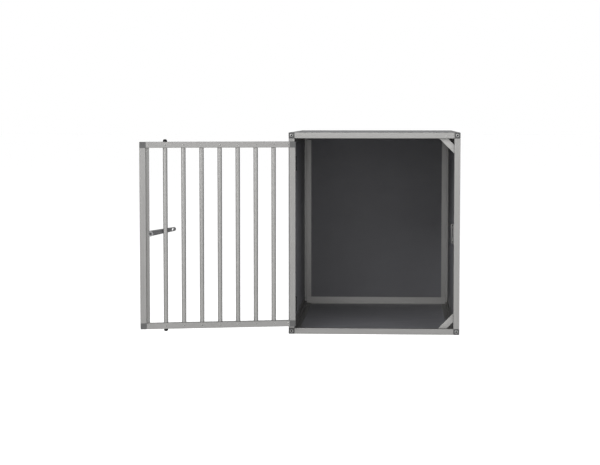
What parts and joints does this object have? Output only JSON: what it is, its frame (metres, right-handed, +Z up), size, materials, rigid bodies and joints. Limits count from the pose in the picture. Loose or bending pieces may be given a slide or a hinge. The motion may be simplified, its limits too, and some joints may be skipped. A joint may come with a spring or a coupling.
{
  "type": "dog crate",
  "caption": "Box-shaped aluminium-profile dog crate with dark panels, plastic corner connectors and a barred swing door with a turning lever latch.",
  "frame": {"origin": "middle of the front bottom rail's underside, where the crate rests on the ground", "axes": "+X to the right seen from the front, +Y from the doorway towards the back panel, +Z up"},
  "size_m": [1.0703, 0.9736, 0.686],
  "materials": {
    "aluminium_profile": "satin anodised",
    "bar_aluminium": "satin anodised",
    "brace_aluminium": "satin mill finish",
    "panel_board": "smooth anthracite facing, satin",
    "connector_plastic": "matt moulded grey",
    "zinc_steel": "zinc plated",
    "keeper_steel": "plain stamped steel",
    "latch_steel": "dark satin steel",
    "hinge_black": "black painted",
    "bumper_rubber": "matt black rubber"
  },
  "bodies": {
    "crate": {"front_left_post": "aluminium_profile", "front_right_post": "aluminium_profile", "back_left_post": "aluminium_profile", "back_right_post": "aluminium_profile", "front_top_rail": "aluminium_profile", "front_bottom_rail": "aluminium_profile", "back_top_rail": "aluminium_profile", "back_bottom_rail": "aluminium_profile", "left_top_rail": "aluminium_profile", "left_bottom_rail": "aluminium_profile", "right_top_rail": "aluminium_profile", "right_bottom_rail": "aluminium_profile", "front_left_top_connector": "connector_plastic", "front_left_top_screw": "zinc_steel", "front_left_bottom_connector": "connector_plastic", "front_left_bottom_screw": "zinc_steel", "front_right_top_connector": "connector_plastic", "front_right_top_screw": "zinc_steel", "front_right_bottom_connector": "connector_plastic", "front_right_bottom_screw": "zinc_steel", "back_left_top_connector": "connector_plastic", "back_left_bottom_connector": "connector_plastic", "back_right_top_connector": "connector_plastic", "back_right_bottom_connector": "connector_plastic", "left_panel": "panel_board", "right_panel": "panel_board", "back_panel": "panel_board", "roof_panel": "panel_board", "floor_panel": "panel_board", "top_corner_brace": "brace_aluminium", "bottom_corner_brace": "brace_aluminium", "latch_keeper": "keeper_steel", "bottom_hinge_frame_leaf": "hinge_black", "bottom_hinge_pin": "hinge_black", "top_hinge_frame_leaf": "hinge_black", "top_hinge_pin": "hinge_black"},
    "door": {"bottom_hinge_door_leaf": "hinge_black", "top_hinge_door_leaf": "hinge_black", "door_hinge_stile": "aluminium_profile", "door_latch_stile": "aluminium_profile", "door_top_rail": "aluminium_profile", "door_top_bumper": "bumper_rubber", "door_bottom_rail": "aluminium_profile", "door_bottom_bumper": "bumper_rubber", "door_hinge_top_connector": "connector_plastic", "door_hinge_bottom_connector": "connector_plastic", "door_latch_top_connector": "connector_plastic", "door_latch_bottom_connector": "connector_plastic", "door_bar_1": "bar_aluminium", "door_bar_2": "bar_aluminium", "door_bar_3": "bar_aluminium", "door_bar_4": "bar_aluminium", "door_bar_5": "bar_aluminium", "door_bar_6": "bar_aluminium", "door_bar_7": "bar_aluminium", "door_lock_channel": "bar_aluminium", "latch_bracket": "latch_steel"},
    "latch": {"latch_lever": "latch_steel", "latch_cam": "latch_steel", "latch_spindle": "zinc_steel"}
  },
  "joints": [
    {"name": "door_hinge", "type": "hinge", "parent": "crate", "child": "door", "pos_m": [-0.266, -0.0145, 0.343], "axis": [0, 0, 1], "range_deg": [-12.6, 167.4]},
    {"name": "latch_turn", "type": "hinge", "parent": "door", "child": "latch", "pos_m": [-0.74416, -0.13624, 0.3495], "axis": [-0.2181, 0.9759, 0], "range_deg": [0, 90]}
  ]
}
